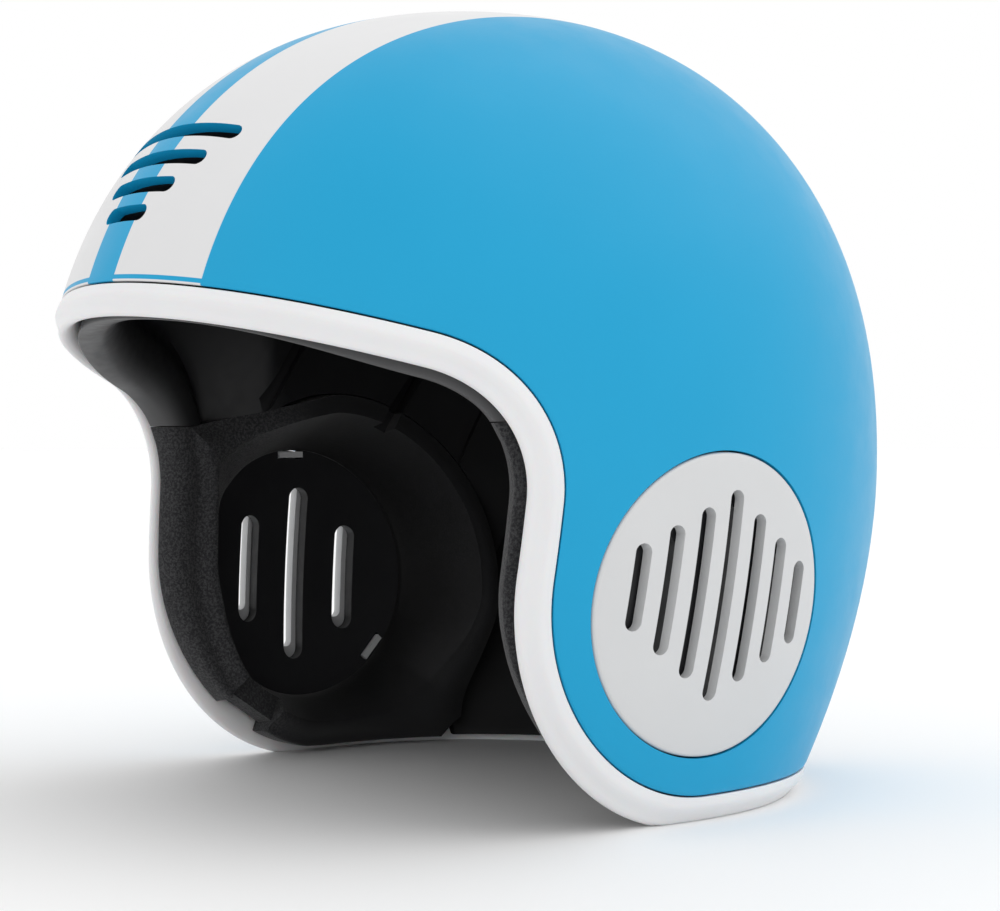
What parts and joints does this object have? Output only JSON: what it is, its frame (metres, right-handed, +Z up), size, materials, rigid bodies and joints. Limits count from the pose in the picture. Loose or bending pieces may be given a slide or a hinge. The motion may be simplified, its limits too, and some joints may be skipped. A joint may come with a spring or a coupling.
{
  "type": "open-face kids bike helmet",
  "caption": "Open-face children's helmet with a hard shell, soft edge trim, brow vents, thick ear pads, slotted pull-off ear covers and a dial that draws in the nape cradle.",
  "frame": {"origin": "centre of the bounding box on the floor that the edge trim stands on", "axes": "+Z up, the wearer looks along -Y, +X is the wearer's left"},
  "size_m": [0.1942, 0.2372, 0.21],
  "materials": {
    "shell_plastic": "satin blue injection-moulded plastic with white painted stripes",
    "trim_rubber": "soft white moulded rubber, satin",
    "cover_plastic": "satin pale grey plastic",
    "liner_foam": "smooth black moulded foam",
    "pad_foam": "fine-grained dark grey soft foam",
    "comfort_fabric": "black brushed knit over foam",
    "black_plastic": "black moulded plastic, fine texture",
    "natural_plastic": "natural white nylon",
    "anchor_plastic": "dark grey moulded plastic",
    "steel": "plain steel"
  },
  "bodies": {
    "helmet": {"outer_shell": "shell_plastic", "edge_trim": "trim_rubber", "crown_liner": "liner_foam", "nape_liner": "liner_foam", "ear_pad_left": "pad_foam", "ear_pad_right": "pad_foam", "ear_plate_left": "black_plastic", "ear_plate_right": "black_plastic", "strap_anchor_front_left": "anchor_plastic", "strap_anchor_front_right": "anchor_plastic", "strap_anchor_rear_left": "anchor_plastic", "strap_anchor_rear_right": "anchor_plastic", "anchor_studs": "steel", "crown_pad": "comfort_fabric", "brow_pad_left": "comfort_fabric", "brow_pad_right": "comfort_fabric", "fit_arm_left": "black_plastic", "fit_arm_right": "black_plastic", "arm_pins": "steel"},
    "left_cover": {"ear_cover_left": "cover_plastic"},
    "right_cover": {"ear_cover_right": "cover_plastic"},
    "cradle": {"nape_cradle": "black_plastic", "cradle_cover": "black_plastic", "cover_screws": "steel", "cradle_pad": "comfort_fabric"},
    "dial": {"fit_dial": "black_plastic", "dial_pinion": "natural_plastic", "dial_screw": "steel"},
    "left_rack": {"rack_left": "natural_plastic"},
    "right_rack": {"rack_right": "natural_plastic"}
  },
  "joints": [
    {"name": "left_cover_pull", "type": "slide", "parent": "helmet", "child": "left_cover", "axis": [1, 0, 0], "range_m": [0, 0.03]},
    {"name": "right_cover_pull", "type": "slide", "parent": "helmet", "child": "right_cover", "axis": [-1, 0, 0], "range_m": [0, 0.03]},
    {"name": "cradle_slide", "type": "slide", "parent": "helmet", "child": "cradle", "axis": [0, -1, 0], "range_m": [0, 0.0098]},
    {"name": "dial_turn", "type": "hinge", "parent": "cradle", "child": "dial", "pos_m": [0, 0.0881, 0.05], "axis": [0, -1, 0], "range_deg": [0, 140.5]},
    {"name": "left_rack_slide", "type": "slide", "parent": "cradle", "child": "left_rack", "axis": [-1, 0, 0], "range_m": [0, 0.0098]},
    {"name": "right_rack_slide", "type": "slide", "parent": "cradle", "child": "right_rack", "axis": [1, 0, 0], "range_m": [0, 0.0098]}
  ],
  "couplings": [
    {"joint": "dial_turn", "follows": "cradle_slide", "rad_per_m": 250},
    {"joint": "left_rack_slide", "follows": "cradle_slide", "ratio": 1},
    {"joint": "right_rack_slide", "follows": "cradle_slide", "ratio": 1}
  ]
}
